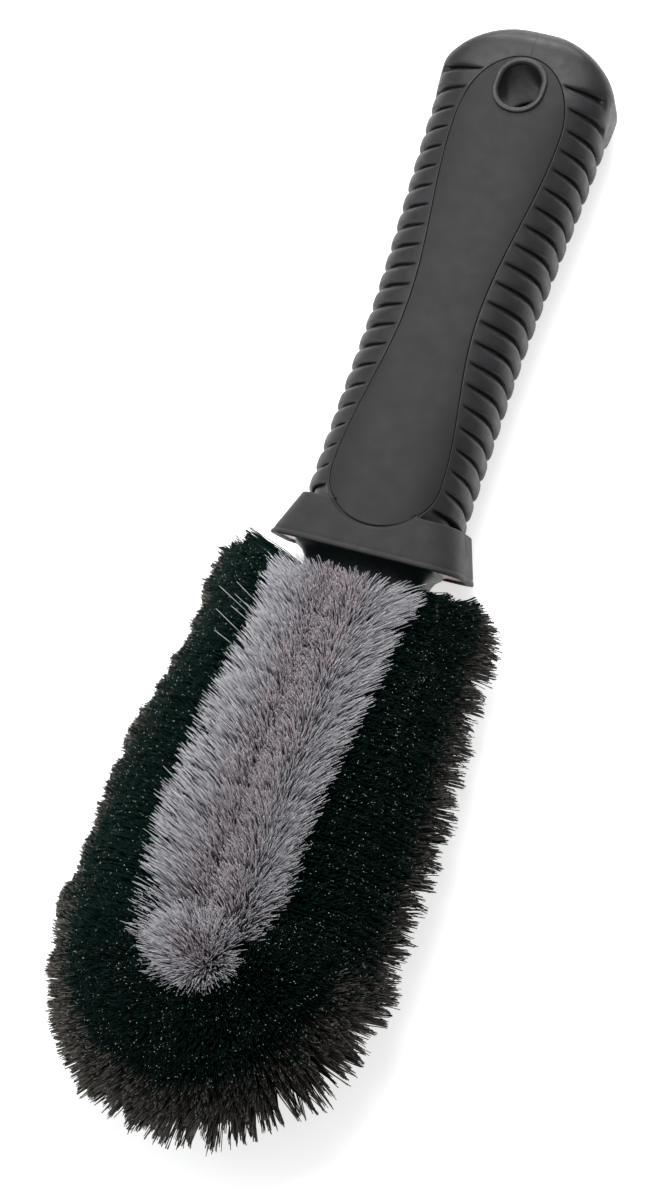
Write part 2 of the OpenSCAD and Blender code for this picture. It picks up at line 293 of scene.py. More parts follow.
def section_line(a, b, zc, n, count=500):
    """Half of a superellipse from the front middle round the side to the back middle, as x, z and
    the arc length to each point."""
    t = np.linspace(0, math.pi, count)
    power = np.where(t < math.pi / 2, 2 / n, 2 / (n * BACK_FULL))
    x = a * np.abs(np.sin(t)) ** power
    x[0] = x[-1] = 0.0
    z = zc + b * np.sign(np.cos(t)) * np.abs(np.cos(t)) ** power
    s = np.concatenate([[0], np.cumsum(np.hypot(np.diff(x), np.diff(z)))])
    return x, z, s


def arc_at(x, line_x, line_s):
    """Arc length at which the front half of a section line reaches x."""
    quarter = len(line_x) // 2
    return float(np.interp(x, line_x[:quarter + 1], line_s[:quarter + 1]))


# The panel: half-elliptic ends of half-width WIDE, and a waist from which it swells both ways
FOOT_Y, FOOT_L, ARCH_Y, ARCH_L, WIDE = 17.0, 12.3, 104.0, 16.8, 12.1
WAIST_Y, WAIST_HW, SWELL, RUN_UP, RUN_DOWN = 57, 7.9, 2.1, 47.0, 40.0


def panel_hw(y):
    """Half-width of the panel between its ends."""
    run = RUN_UP if y > WAIST_Y else RUN_DOWN
    return WAIST_HW + SWELL * (1 - math.cos(math.pi * (y - WAIST_Y) / run))


def outline_x(y, d):
    """Half-width at y of the panel outline grown by d, and 0 beyond its tips."""
    if y < FOOT_Y:
        q = 1 - ((FOOT_Y - y) / (FOOT_L + d)) ** 2
    elif y > ARCH_Y:
        q = 1 - ((y - ARCH_Y) / (ARCH_L + d)) ** 2
    else:
        return panel_hw(y) + d
    return (WIDE + d) * math.sqrt(q) if q > 0 else 0.0


def outline_distance(x, y):
    """Signed distance of a point to the panel outline, positive outside."""
    x = abs(x)
    if FOOT_Y <= y <= ARCH_Y:
        return x - panel_hw(y)
    dy, length = (FOOT_Y - y, FOOT_L) if y < FOOT_Y else (y - ARCH_Y, ARCH_L)
    # Bisection for the growth of the end's ellipse that brings it to the point
    lo, hi = -11.9, 60.0
    for _ in range(40):
        d = (lo + hi) / 2
        if (x / (WIDE + d)) ** 2 + (dy / (length + d)) ** 2 > 1:
            lo = d
        else:
            hi = d
    return lo


def edge_drop(d, r):
    """Drop of a rounded edge of radius r at distance d from the edge."""
    if d >= r:
        return 0.0
    return r - math.sqrt(max(0.0, r * r - (r - max(d, 0.0)) ** 2))


def face_z(x, a, b, zc, n, front):
    """Height of a section's front or back face at x."""
    n = n if front else n * BACK_FULL
    h = b * max(0.0, 1 - min(1.0, abs(x) / max(a, 1e-6)) ** n) ** (1 / n)
    return zc + h if front else zc - h


# Gap between the panel and the pieces round it
SEAM = 0.09
# Distances from the panel's edge at which both sides of the seam have points
OFFSETS = [0, .05, .12, .2, .3, .42, .62, .9, 1.3]
# How far the edges at the seam reach down into it
SEAM_DEEP = 1.3
# The grooves between the ribs: y of the last one, distance and number
GROOVE_TOP, PITCH, GROOVES = 116.0, 4.95, 22
# A rib's depth over one pitch, the rows of points that follow it, its overhang, and the groove's
# depth against the distance from the seam
RIB_T = [0, .04, .09, .14, .2, .32, .5, .62, .74, .84, .92, .97, 1]
RIB_G = [1, .98, .60, .24, .07, 0, .02, .10, .30, .58, .84, .97, 1]
ROW_T = [0, .03, .06, .09, .12, .16, .2, .28, .4, .52, .62, .71, .79, .86, .92, .965]
LIP_T = [0, .05, .12, .2, .32, .5, 1]
LIP_Y = [0, .40, .62, .55, .32, 0, 0]
DEPTH_S = [0.7, 1.4, 3.2, 8, 14]
DEPTH_D = [0, .55, 1.0, 1.6, 1.9]


def rib_inset(y, s):
    """How far the ribs' surface lies below the crest, at arc length s from the nearest seam, and
    how far its overhanging lower edge is set down."""
    depth = float(np.interp(s, DEPTH_S, DEPTH_D))
    # Towards the rounded end the ribs stop short of a smooth band on the side
    band_from = 97
    stop = float(np.interp(y, [band_from, 113], [17, 9.6]))
    depth *= 1 - float(ease((s - stop) / 1.6)) if y > band_from else 1.0
    if depth <= 0:
        return 0.0, 0.0
    low = GROOVE_TOP - (GROOVES - 1) * PITCH
    if y < low:
        return depth, 0.0
    if y > GROOVE_TOP + PITCH * 0.5:
        return 0.0, 0.0
    t = ((y - GROOVE_TOP) / PITCH) % 1.0
    # The groove is narrow at the seam
    pinch = float(np.interp(s, [0.8, 5.5], [0.4, 1.0]))
    if t < 0.5:
        t = min(0.5, t / pinch)
    else:
        t = max(0.5, 1 - (1 - t) / pinch)
    if y > GROOVE_TOP and t > 0.4:
        return 0.0, 0.0
    lip = min(1.0, depth / 1.3) * float(np.interp(t, LIP_T, LIP_Y))
    return depth * float(np.interp(t, RIB_T, RIB_G)), lip


def distinct(values):
    """Sorted values with near-duplicates removed."""
    ys = sorted(set(round(v, 4) for v in values))
    kept = [ys[0]]
    for v in ys[1:]:
        if v - kept[-1] > 0.012:
            kept.append(v)
    return kept


def sines(count, start, stop):
    return [math.sin(math.radians(a)) for a in np.linspace(start, stop, count)]


def build_sleeve():
    """The ribbed rubber round the panels, from under the collar to the rounded end."""
    tip = ARCH_Y + ARCH_L + SEAM
    ys = [8.2, 8.8, 9.5, 10.3, 11.1]
    for k in range(GROOVES):
        ys += [GROOVE_TOP - k * PITCH + t * PITCH for t in ROW_T if k or t < 0.5]
    arch = [ARCH_Y + (ARCH_L + SEAM) * v for v in sines(36, 20, 90)]
    arch += [tip + o for o in OFFSETS[1:]]
    dome = [118.6, 119.4, 120.2]
    dome += [END_Y - DOME_L + DOME_L * v for v in sines(34, 2, 89.5)]
    dome += [tip + 1.6]
    ys = distinct(ys + arch + dome)
    middle = 56
    cols = 2 * (len(OFFSETS) + 1) + middle
    tip_row = max(i for i, y in enumerate(ys) if y <= tip + 0.001)

    def beyond_panel(i, j):
        return i >= tip_row and (j == 0 or j == cols - 2)

    verts, faces = [], []
    for side in (1, -1):
        base = len(verts)
        for y in ys:
            a, b, zc = section(y)
            n = roundness(y)
            lx, lz, ls = section_line(a, b, zc, n)
            front_x = [min(outline_x(y, SEAM + o), 0.98 * a) for o in OFFSETS]
            total = float(ls[-1])
            arcs = [arc_at(x, lx, ls) for x in front_x]
            seam_s = arcs[0]
            s0, s1 = arcs[-1], total - arcs[-1]
            arcs = arcs + [s0 + (s1 - s0) * (j + 1) / (middle + 1) for j in range(middle)] \
                + [total - s for s in reversed(arcs)]
            row = []
            for j, s in enumerate(arcs):
                x = float(np.interp(s, ls, lx))
                z = float(np.interp(s, ls, lz))
                if j < len(OFFSETS):
                    x = front_x[j]
                    z = face_z(x, a, b, zc, n, True)
                elif j >= len(arcs) - len(OFFSETS):
                    x = front_x[len(arcs) - 1 - j]
                    z = face_z(x, a, b, zc, n, False)
                # The section's outward normal
                nx = (x / a) ** (n - 1) / a
                w = abs(z - zc) / max(b, 1e-6)
                nz = math.copysign(w ** (n - 1) / max(b, 1e-6), z - zc)
                ln = math.hypot(nx, nz) or 1.0
                near = min(s - seam_s, total - seam_s - s)
                inset, lip = rib_inset(y, near) if y < tip else (0.0, 0.0)
                drop = edge_drop(outline_distance(x, y) - SEAM, 0.18)
                if abs(z - zc) < 0.5 * b and y < 118:
                    drop = 0.0
                row.append((x - inset * nx / ln, y - lip,
                            z - inset * nz / ln - math.copysign(drop, z - zc)))
            first, last = row[0], row[-1]
            if y <= tip:
                row = [(first[0], y, first[2] - SEAM_DEEP)] + row \
                    + [(last[0], y, last[2] + SEAM_DEEP)]
            else:
                row = [first] + row + [last]
            verts += [(side * max(0.0, p[0]), p[1], p[2]) for p in row]
        faces += grid_faces(len(ys), cols, base, skip=beyond_panel)
    # Close the very end
    tip_i = len(verts)
    verts.append((0.0, END_Y, section(120)[2]))
    half = len(ys) * cols
    last = (len(ys) - 1) * cols
    for base in (0, half):
        for j in range(cols - 1):
            faces.append((base + last + j, base + last + j + 1, tip_i))
    # The two halves wind opposite ways
    faces = [f if f[0] < half else tuple(reversed(f)) for f in faces]
    return finish_mesh("grip_sleeve_rubber", verts, faces, RUBBER, "grip_sleeve",
                       lambda c, n: n.x * c.x / 20 + n.z * (c.z - 10.5) / 10)


# The hanging hole: two half circles of radius HOLE_R, with straight walls between them
HOLE_Y, HOLE_R, HOLE_STRAIGHT = 113.5, 4.4, 0.95
# How far outside the hole's wall the panels begin, under the eyelet's lip
PANEL_CUT = 0.85


def oval_distance(x, y):
    """Distance of a point outside the wall of the hanging hole."""
    dy = max(0.0, abs(y - HOLE_Y) - HOLE_STRAIGHT)
    return math.hypot(x, dy) - HOLE_R


def build_panel(front):
    """A smooth panel: the front one, or its copy on the back."""
    tip, foot = ARCH_Y + ARCH_L, FOOT_Y - FOOT_L
    ys = list(np.linspace(FOOT_Y, 100, 84)) + list(np.linspace(100, 120, 60))
    ys += [FOOT_Y - FOOT_L * math.cos(math.radians(a)) for a in np.linspace(0, 88, 36)]
    ys += [ARCH_Y + ARCH_L * v for v in sines(40, 10, 90)]
    ys += [tip - o for o in OFFSETS] + [foot + o for o in OFFSETS]
    ys = distinct(ys)
    middle = 45
    verts = []
    cols = 2 * (len(OFFSETS) + 1) + middle
    for y in ys:
        a, b, zc = section(max(y, TOP_F))
        half = [outline_x(y, -o) for o in OFFSETS]
        xs = half + [half[-1] * (1 - 2 * (j + 1) / (middle + 1)) for j in range(middle)] \
            + [-x for x in reversed(half)]
        row = []
        for x in xs:
            z = face_z(x, a, b, zc, roundness(y), front)
            drop = edge_drop(-outline_distance(x, y), 0.16)
            row.append((x, z - drop if front else z + drop))
        deep = -SEAM_DEEP if front else SEAM_DEEP
        row = [(row[0][0], row[0][1] + deep)] + row + [(row[-1][0], row[-1][1] + deep)]
        verts += [(x, y, z) for x, z in row]
    faces = [f for f in grid_faces(len(ys), cols)
             if not all(oval_distance(verts[i][0], verts[i][1]) < PANEL_CUT for i in f)]
    name = "front_panel" if front else "back_panel"
    up = 1 if front else -1
    return finish_mesh(name + "_rubber", verts, faces, PANEL, name, lambda c, n: n.z * up)


def build_eyelet():
    """The hole's lining: a lip that stands proud of the panel and a bore that widens to the back.
    The profile is (distance outside the hole's wall, height), once round the lining's wall."""
    face = top_z(HOLE_Y)
    profile = [(1.5, face - 1.6), (1.5, face + .30), (1.46, face + .44), (1.36, face + .55),
               (1.2, face + .6), (.8, face + .6), (.52, face + .56), (.3, face + .44),
               (.13, face + .22), (.03, face - .1), (0, face - .5), (0, 13.0), (.2, 8.0),
               (.7, 4.0), (1.15, 1.6), (1.3, .6), (1.36, .3), (1.42, .16), (1.48, .2), (1.5, .8)]
    steps = 96
    verts, rows = [], len(profile)
    for grow, z in profile:
        for k in range(steps):
            t = 2 * math.pi * k / steps
            x, dy = math.cos(t), math.sin(t)
            verts.append(((HOLE_R + grow) * x,
                          HOLE_Y + math.copysign(HOLE_STRAIGHT, dy) * min(1, abs(dy) * 6)
                          + (HOLE_R + grow) * dy, z))
    faces = grid_faces(rows, steps, wrap=True)
    last = (rows - 1) * steps
    faces += [(last + k, last + (k + 1) % steps, (k + 1) % steps, k) for k in range(steps)]

    def outward(c, n):
        away = n.x * c.x + n.y * (c.y - HOLE_Y)
        return away if oval_distance(c.x, c.y) > .75 else -away

    return finish_mesh("hang_eyelet_ring", verts, faces, EYELET, "hang_eyelet", outward)


# ---------------------------------------------------------------- the collar and the core's flange


# Half-width and height of the collar's upper end, and what the flare adds to each at its lower end
COLLAR_HW, FLARE_HW, COLLAR_H, FLARE_H = 17.8, 3.9, 22.5, 1.1


def collar_size(f):
    """Half-width and height of the collar's section that starts at f."""
    flare = max(0.0, 1 - (f - LOW_F) / (TOP_F - LOW_F))
    return COLLAR_HW + FLARE_HW * flare, COLLAR_H + FLARE_H * flare


def build_collar():
    """The flared guard, with an opening where the panels' feet reach into it. Its rows of points
    are (place along the collar, inset from its full size)."""
    low_edge = [(LOW_F + 2.2, 1.75), (LOW_F + .8, 1.6), (LOW_F + .25, 1.45), (LOW_F + .05, 1.2),
                (LOW_F, .9), (LOW_F, .5), (LOW_F + .04, .25), (LOW_F + .16, .04),
                (LOW_F + .34, -.07), (LOW_F + .75, -.09), (LOW_F + 1.1, -.05),
                (LOW_F + 1.32, .09), (LOW_F + 1.6, .05), (LOW_F + 2.0, 0)]
    top_edge = [(TOP_F - .4, 0), (TOP_F - .22, .04), (TOP_F - .07, .16), (TOP_F, .38),
                (TOP_F + .01, 1.2), (TOP_F + .02, 2.2), (TOP_F - .6, 2.9)]
    tip = FOOT_Y - FOOT_L - SEAM
    rings = [0, .1, .22, .38, .58, .8, 1.0, 1.2, 1.5]
    body = list(np.linspace(LOW_F + 2.5, tip - 1.7, 6)) + [tip - o for o in rings]
    body += [FOOT_Y - (FOOT_L + SEAM) * math.cos(math.radians(a)) for a in np.linspace(4, 46.5, 26)]
    rows = low_edge + [(f, 0) for f in sorted(body) if f < TOP_F - .45] + top_edge
    middle = 60
    cols = 2 * (len(rings) + 1) + middle
    seam_in = 1.0
    verts, faces = [], []
    for side in (1, -1):
        base = len(verts)
        for f, inset in rows:
            wide, high = collar_size(f)
            a, b, zc = wide - inset + side * COLLAR_SET, high / 2 - inset, high / 2
            lx, lz, ls = section_line(a, b, zc, COLLAR_ROUND, 800)
            total = float(ls[-1])
            fx = [outline_x(f, SEAM + o) for o in rings]
            bx = [outline_x(f + high * SLANT, SEAM + o) for o in rings]
            fs = [arc_at(x, lx, ls) for x in fx]
            bs = [total - arc_at(x, lx, ls) for x in reversed(bx)]
            between = bs[0] - fs[-1]
            arcs = fs + [fs[-1] + between * (j + 1) / (middle + 1) for j in range(middle)] + bs
            row = []
            for j, s in enumerate(arcs):
                if j < len(rings):
                    x = fx[j]
                    z = face_z(x, a, b, zc, COLLAR_ROUND, True)
                elif j >= len(arcs) - len(rings):
                    x = bx[len(arcs) - 1 - j]
                    z = face_z(x, a, b, zc, COLLAR_ROUND, False)
                else:
                    x, z = float(np.interp(s, ls, lx)), float(np.interp(s, ls, lz))
                y = f + (high - z) * SLANT
                # Round the panel's foot the collar falls off to just below the panel
                near = outline_distance(x, y) - SEAM
                if abs(z - zc) > 0.8 * b and near < 1.0:
                    level = top_z(TOP_F) - .25 if z > zc else .25
                    z = z + (level - z) * (1 - float(ease(near)))
                row.append((x, y, z))
            x, y, z = row[0]
            row.insert(0, (x, y, z - seam_in if fx[0] > 0 else z))
            x, y, z = row[-1]
            row.append((x, y, z + seam_in if bx[0] > 0 else z))
            verts += [(side * p[0], p[1], p[2]) for p in row]
        piece = grid_faces(len(rows), cols, base)
        faces += piece if side > 0 else [tuple(reversed(q)) for q in piece]
    return finish_mesh("collar_guard_rubber", verts, faces, COLLAR, "collar_guard",
                       lambda c, n: n.x * c.x / 20 + n.z * (c.z - 11.5) / 11)


def round_rect_point(t, hw, z0, z1, n):
    """Point of a superellipse at angle t, between heights z0 and z1."""
    c, s = math.cos(t), math.sin(t)
    return (hw * math.copysign(abs(c) ** (2 / n), c),
            (z0 + z1) / 2 + (z1 - z0) / 2 * math.copysign(abs(s) ** (2 / n), s))


NECK_HW, NECK_LOW, NECK_HIGH, NECK_ROUND = 13.5, 3.0, 14.0, 5


def build_core():
    """The core's flange, which closes the collar and bends out to meet the neck. ring_u is how far
    each ring of points is from the collar's rim to the neck."""
    steps = 128
    wide, high = collar_size(LOW_F)
    # How far the flange stands in from the collar's outside, and clear of the neck
    rim_in, clear = 1.62, .12
    verts = []
    ring_u = [-.08, 0, .12, .3, .5, .62, .72, .8, .87, .92, .96, .985, 1.0]
    for u in ring_u:
        for k in range(steps):
            t = 2 * math.pi * k / steps
            hw = wide - rim_in + math.copysign(COLLAR_SET, math.cos(t))
            ox, oz = round_rect_point(t, hw, rim_in, high - rim_in, COLLAR_ROUND)
            nx, nz = round_rect_point(t, NECK_HW + clear, NECK_LOW - clear, NECK_HIGH + clear,
                                      NECK_ROUND)
            v = max(0.0, u)
            x, z = ox + (nx - ox) * v, oz + (nz - oz) * v
            y = LOW_F + .55 + (high - z) * SLANT
            bend = max(0.0, (v - .45) / .55)
            y -= 3.6 * (1 - math.sqrt(max(0.0, 1 - bend ** 2)))
            if u < 0:
                y += 2.0
            verts.append((x, y, z))
    faces = grid_faces(len(ring_u), steps, wrap=True)
    return finish_mesh("handle_core_flange", verts, faces, CORE, "handle_core",
                       lambda c, n: -n.y)


# The head block runs from NECK_Y to NOSE_Y, where its half-elliptic nose begins
NECK_Y, NOSE_Y, NOSE_HW, NOSE_L = -5.0, -90.8, 15.5, 19.5


def toward_neck(y):
    return (y - NOSE_Y) / (NECK_Y - NOSE_Y)


def block_hw(y):
    return NOSE_HW - 1.5 * toward_neck(y)


def block_outline(inset):
    """The block's outline from the front, set in by inset, as (x, y) from the neck's right side."""
    flank, nose = 13, 48
    pts = []
    for k in range(flank):
        y = NECK_Y - inset + (NOSE_Y - NECK_Y + inset) * k / (flank - 1)
        pts.append((block_hw(y) - inset, y))
    for k in range(1, nose):
        t = math.pi * k / nose
        pts.append(((NOSE_HW - inset) * math.cos(t), NOSE_Y - (NOSE_L - inset) * math.sin(t)))
    pts += [(-x, y) for x, y in reversed(pts[:flank])]
    return pts


def build_block():
    """The head block, whose profile is (height, inset), and the neck that joins it to the core."""
    profile = [(0, 1.6), (.05, .8), (.25, .35), (.7, .08), (1.2, 0), (12.6, 0), (13.3, .1),
               (13.75, .4), (13.95, .9), (14.0, 1.7)]
    verts, count = [], len(block_outline(0))
    for z, inset in profile:
        verts += [(x, y, z) for x, y in block_outline(inset)]
    faces = grid_faces(len(profile), count, wrap=True)
    faces.append(tuple(range(count)))
    top = (len(profile) - 1) * count
    faces.append(tuple(reversed(range(top, top + count))))
    # The neck, from inside the block to inside the collar: (y, inset, top height)
    base, steps = len(verts), 96
    stations = [(-9.0, 0, 14.0), (-5.0, 0, 14.0), (-3.6, -.1, 14.3), (-2.4, -.4, 15.0),
                (-1.5, -.9, 16.2), (-.9, -1.6, 17.7), (-.6, -2.2, 19.4), (0.4, -2.5, 20.6),
                (3.0, -2.5, 20.8)]
    for y, inset, high in stations:
        for k in range(steps):
            x, z = round_rect_point(2 * math.pi * k / steps, NECK_HW - inset, NECK_LOW, high,
                                    NECK_ROUND)
            lean = max(0.0, NECK_HIGH - z) * SLANT if y > -4 else 0.0
            verts.append((x, y + lean, z))
    neck = grid_faces(len(stations), steps, base, wrap=True)
    neck.append(tuple(base + k for k in reversed(range(steps))))
    neck.append(tuple(base + (len(stations) - 1) * steps + k for k in range(steps)))
    ob = finish_mesh("brush_block_body", verts, faces + neck, BLOCK, "brush_block")
    bm = bmesh.new()
    bm.from_mesh(ob.data)
    bmesh.ops.recalc_face_normals(bm, faces=bm.faces)
    for f in bm.faces:
        f.smooth = len(f.verts) < 8
    bm.to_mesh(ob.data)
    bm.free()
    return ob


# ---------------------------------------------------------------- bristles

FIRST_Y, TUFT_PITCH = -9.5, 8.2
# Heights of the tuft holes in the block's face and in its side, and the radius of a hole's bundle
FACE_ROOT_Z, RIM_ROOT_Z, ROOT_R = 14.0, 7.5, 1.05
# Where soft filaments start: height, and their holes' distance from the middle line
SOFT_ROOT_Z, SOFT_ROOT_X = 12.8, 3.2
# Sides of a filament
SIDES = 3
# The bristle head: half-width on the flanks, its taper towards the collar, and its nose
HEAD_HW, HEAD_TAPER, NOSE_REACH_X, NOSE_REACH_Y = 36.3, 8.3, 35.9, 41.2


def brush_hw(y):
    """Half-width of the bristle head."""
    return HEAD_HW - HEAD_TAPER * toward_neck(y) ** 2 + 1.6 * ease((y + 24) / 11)


def row_ys(staggered):
    shift, count = (.5, 10) if staggered else (0, 11)
    return [FIRST_Y - TUFT_PITCH * (k + shift) for k in range(count)]


def unit(v):
    return v / np.maximum(np.linalg.norm(v, axis=-1, keepdims=True), 1e-9)


def curve(starts, ctrl, ends, levels):
    """Points of quadratic curves at the given levels."""
    return np.stack([(1 - t) ** 2 * starts + 2 * t * (1 - t) * ctrl + t * t * ends
                     for t in levels], axis=1)


def tube_mesh(name, node, paths, radii, tones, caps, palette):
    """One mesh of tapering filaments. paths (n, m, 3) and radii (n, m) in mm, tones (n, m - 1)
    and caps (n) pick material slots."""
    n, m, _ = paths.shape
    axis = unit(paths[:, -1] - paths[:, 0])
    helper = np.where(np.abs(axis[:, :1]) > 0.8, [[0, 1, 0]], [[1, 0, 0]])
    u = unit(np.cross(axis, helper))
    v = np.cross(axis, u)
    spin = rng.uniform(0, 2 * math.pi, n)
    ring = []
    for k in range(SIDES):
        a = spin + k * 2 * math.pi / SIDES
        ring.append(np.cos(a)[:, None] * u + np.sin(a)[:, None] * v)
    ring = np.stack(ring, axis=1)
    verts = paths[:, :, None, :] + radii[:, :, None, None] * ring[:, None, :, :]
    verts = verts.reshape(-1, 3) * MM
    # Index of the first point of each ring of each filament
    at = (np.arange(n) * m * SIDES)[:, None] + (np.arange(m - 1) * SIDES)[None, :]
    quads = []
    for k in range(SIDES):
        k2 = (k + 1) % SIDES
        quads.append(np.stack([at + k, at + k2, at + SIDES + k2, at + SIDES + k], axis=-1))
    quads = np.stack(quads, axis=2).reshape(-1, 4)
    quad_tone = np.repeat(tones.reshape(-1), SIDES)
    ends = (np.arange(n) * m * SIDES + (m - 1) * SIDES)[:, None] + np.arange(SIDES)
    loops = np.concatenate([quads.reshape(-1), ends.reshape(-1)]).astype(np.int32)
    starts = np.concatenate([np.arange(len(quads)) * 4, len(quads) * 4 + np.arange(n) * SIDES])
    totals = np.concatenate([np.full(len(quads), 4), np.full(n, SIDES)])
    slots = np.concatenate([quad_tone, caps]).astype(np.int32)
    me = bpy.data.meshes.new(name)
    me.vertices.add(len(verts))
    me.vertices.foreach_set("co", verts.astype(np.float32).reshape(-1))
    me.loops.add(len(loops))
    me.loops.foreach_set("vertex_index", loops)
    me.polygons.add(len(starts))
    me.polygons.foreach_set("loop_start", starts.astype(np.int32))
    me.polygons.foreach_set("loop_total", totals.astype(np.int32))
    for mat in palette:
        me.materials.append(mat)
    me.polygons.foreach_set("material_index", slots)
    smooth = np.ones(len(starts), dtype=bool)
    smooth[len(quads):] = False
    me.polygons.foreach_set("use_smooth", smooth)
    me.update(calc_edges=True)
    me.validate()
    return add_piece(name, me, node)


def disc(n):
    """Random places in a unit disc."""
    r = np.sqrt(rng.uniform(0, 1, n))
    a = rng.uniform(0, 2 * math.pi, n)
    return r * np.cos(a), r * np.sin(a)


def hashed(k):
    """A repeatable number in 0..1 for each whole number."""
    return np.abs(np.sin(k * 12.9898 + 4.1) * 43758.5453) % 1.0


def clumped(s, size, pull, wobble):
    """Draws places along the outline towards the middles of clumps of about the given size. Gives
    the new places and each one's clump number."""
    phase = s / size + wobble * np.sin(s * 0.9) + wobble * np.sin(s * 2.3 + 1.0)
    number = np.floor(phase)
    return s - (phase - number - 0.5) * size * pull, number


# Sides of the head: the left and right flank, and the nose between them
LEFT, NOSE, RIGHT = -1, 0, 1
# Places round the nose are angles, and this many mm long per radian
NOSE_ARC = 40.0
# Gaps in the outermost row, as (place along the outline, half width) in mm
NOTCHES = {NOSE: [(114, 1.9), (86, 1.0), (73, 2.0), (54, 1.9), (48, 1.0), (33, 1.2)],
           LEFT: [(-27, .5), (-31, .5), (-52, .4), (-86, .6), (-91, .7)],
           RIGHT: [(-38, .5), (-66, .5)]}
# Height of the bristle face against the distance in from its outline
INSETS = [-1.2, 0, 1, 3.3, 6.8, 11.3, 16.3, 26]
HEIGHTS = [12.0, 17.0, 21.5, 27, 32.5, 36.8, 38.6, 39.2]


def sweep(y):
    """Sideways set of the bristle tips: the worn head leans a little across its block."""
    return 0.9 - 0.021 * (-y - 8)


def shoulder(y):
    """0 to 1 over the last 50 mm towards the collar, where the bristles get shorter."""
    return ease(1 + (y - FIRST_Y) / 50)


def tip_place(s, d, side):
    """Tip point at place s along the head's outline, set in by d. On a flank s is y; round the
    nose it is the angle in radians."""
    z = np.interp(d, INSETS, HEIGHTS)
    if side:
        hw = brush_hw(s) - 0.4
        if side == LEFT:
            hw = hw + 1.0 * ease((s + 24) / 10) - 0.7 * np.exp(-((s + 38) / 10) ** 2)
        x = side * (hw - d * np.clip((hw - 14) / 22, 0.4, 1.0))
        y = s
        z = z - 6.2 * shoulder(s)
    else:
        x = (NOSE_REACH_X - d) * np.cos(s)
        y = NOSE_Y - (NOSE_REACH_Y - d) * np.sin(s)
    return np.stack([x + sweep(y), y, z], axis=1)


def stiff_row(name, node, roots, places, spread, count, band, side, rim):
    """Black tufts: every filament of a tuft runs from its root hole to its own place on the head's
    face, in the band of distances from the outline. Rim tufts lie sideways and are coarser."""
    count = count
    levels = [0, .3, .65, 1.0]
    scale = 1.0 if side else NOSE_ARC
    clump = 2.6 if side else 3.3
    # How far in from the outline the split edge reaches
    edge_in = 4.6
    parts = []
    for root, place in zip(roots, places):
        root = np.array(root)
        s = rng.uniform(place - spread * .56, place + spread * .56, count) * scale
        d = rng.uniform(band[0], band[1], count)
        longer = rng.normal(0, .32, count)
        if rim:
            edge = np.clip(1 - d / edge_in, 0, 1) ** .7
            s2, big = clumped(s, 9.7, .13, .10)
            s = s + (s2 - s) * edge
            s2, small = clumped(s, clump, .5 if side == RIGHT else .62, .22)
            s = s + (s2 - s) * edge
            longer = longer + edge * ((hashed(small) - .5) * 2.2 + (hashed(big + 31) - .5) * 1.2)
            longer -= edge * (rng.uniform(0, 1, count) < .12) * rng.uniform(0, 2.2, count)
        else:
            edge = np.clip(1.5 - d / edge_in, 0, 1)
            s2, small = clumped(s, 1.7, .25, .3)
            longer = longer + (hashed(small + np.floor(d / 1.6) * 57) - .5) * .9
            s3, small = clumped(s, clump, .5 if side == RIGHT else .7, .22)
            s = s2 + (s3 - s2) * edge
            longer = longer + edge * (hashed(small) - .5) * (2.4 if side == RIGHT else 3.4)
        for middle, half in NOTCHES[side]:
            off = s - middle
            s = s + np.sign(off) * half * np.clip(1 - np.abs(off) / (2 * half), 0, 1) ** 2 * edge
        if side:
            # Filaments past the row's end at the collar fold back along it
            corner = ease((d - (8 if side == LEFT else 5)) / 7.5)
            limit = -4.3 - 6.0 * corner + rng.normal(0, .4, count)
            s = np.where(s > limit, 2 * limit - s, s)
        end = tip_place(s / scale, d, side)
        if rim:
            end[:, 2] += rng.normal(0, .7, count)
        p, q = disc(count)
        axis = unit(end.mean(axis=0) - root)
        u = unit(np.cross(axis, [0, 0, 1.0]))
        v = np.cross(u, axis)
        start = root + ROOT_R * (p[:, None] * u + q[:, None] * v) - axis * 1.2
        end = end + unit(end - root) * longer[:, None]
        bend = rng.normal(0, .45, (count, 3)) + np.array([0, 0, .9])
        paths = np.stack([start + (end - start) * t + bend * (4 * t * (1 - t)) for t in levels],
                         axis=1)
        thick = rng.uniform(.13, .2, count) if rim else rng.uniform(.12, .18, count)
        radii = np.stack([thick, thick, thick * .95, thick * .62], axis=1)
        pick = rng.uniform(0, 1, count)
        from_edge = d + rng.normal(0, .9, count)
        # Root segments take a painted shade, darker than the filament's own tone
        deep = np.full(count, STIFF_ROOT_SHADE)
        # Brown tones near the outline, most on the left flank and round the nose, are painted light
        # on the strands' lit sides; black ones inside it
        if rim:
            outer = from_edge < {NOSE: 6.0, LEFT: 3.4, RIGHT: 1.6}[side]
            lit_band = np.where(pick < (.42 if side else .62), STIFF_LIT_BROWN, STIFF_BROWN)
            tone = np.where(outer, np.where(pick < .85, lit_band, STIFF_BLACK),
                            np.where(pick < .3, STIFF_BROWN, STIFF_TEAL))
            below = np.where(outer & (pick < .6), lit_band, STIFF_BLACK)
        else:
            outer = (from_edge < {NOSE: 6.5, LEFT: 4.6, RIGHT: 0}[side]) & (pick < .6)
            lit_band = np.where(pick < (.2 if side else .3), STIFF_LIT_BROWN, STIFF_BROWN)
            tone = np.where(outer, lit_band, np.where(pick < .5, STIFF_BLACK, STIFF_TEAL))
            # In the inner rows the middle segments take the painted root shade too
            below = deep
        tones = np.stack([deep, below, tone], axis=1)
        pale = rng.uniform(0, 1, count) < (.02 if rim else .04)
        radii[pale, 3] = rng.uniform(.08, .16, pale.sum())
        caps = np.where(pale, STIFF_PALE, np.where(pick < .12, STIFF_CUT, STIFF_TEAL))
        parts.append((paths, radii, tones, caps))
    return tube_mesh(name, node, *[np.concatenate(p) for p in zip(*parts)], STIFF_TONES)


